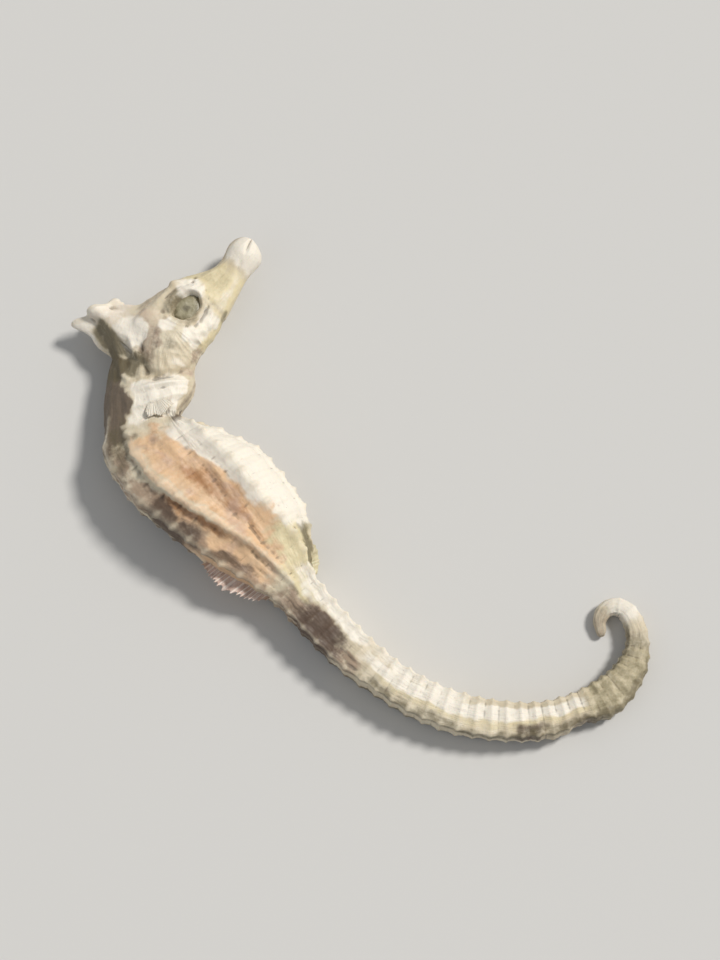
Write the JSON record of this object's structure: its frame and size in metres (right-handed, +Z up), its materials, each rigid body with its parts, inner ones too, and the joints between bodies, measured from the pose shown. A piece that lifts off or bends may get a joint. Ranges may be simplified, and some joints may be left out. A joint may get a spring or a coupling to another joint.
{
  "type": "dried seahorse",
  "caption": "Small dried seahorse lying on its left side, with a stout snout, a pointed coronet, a ringed and hollow-flanked trunk and a square tail that ends in a hook.",
  "frame": {"origin": "middle of the footprint, on the floor that the seahorse lies on", "axes": "+Z up, out of the right flank; the snout points to +X +Y, the belly faces +X, and the tail curls towards +X; X is the longest way across"},
  "size_m": [0.067, 0.0606, 0.0096],
  "materials": {
    "skin_ivory": "dried skin over bone, matt ivory",
    "skin_flank": "thin dried skin, dull apricot brown",
    "skin_tail": "dried skin over bony rings, matt cream",
    "fin": "shrivelled fin, dull pinkish brown",
    "eye": "sunken dried eye, dull olive with a slight sheen"
  },
  "bodies": {
    "root": {"mouth": "skin_ivory", "snout": "skin_ivory", "head": "skin_ivory", "coronet": "skin_ivory", "gill_cover_right": "skin_ivory", "gill_cover_left": "skin_ivory", "eye_right": "eye", "eye_left": "eye", "neck": "skin_ivory", "trunk_front": "skin_flank", "trunk_middle": "skin_flank", "trunk_rear": "skin_flank", "dorsal_fin": "fin", "anal_fin": "fin", "pectoral_fin_right": "fin", "pectoral_fin_left": "fin", "tail_base": "skin_tail", "tail_front": "skin_tail", "tail_middle": "skin_tail", "tail_rear": "skin_tail", "tail_tip": "skin_tail"}
  },
  "joints": []
}
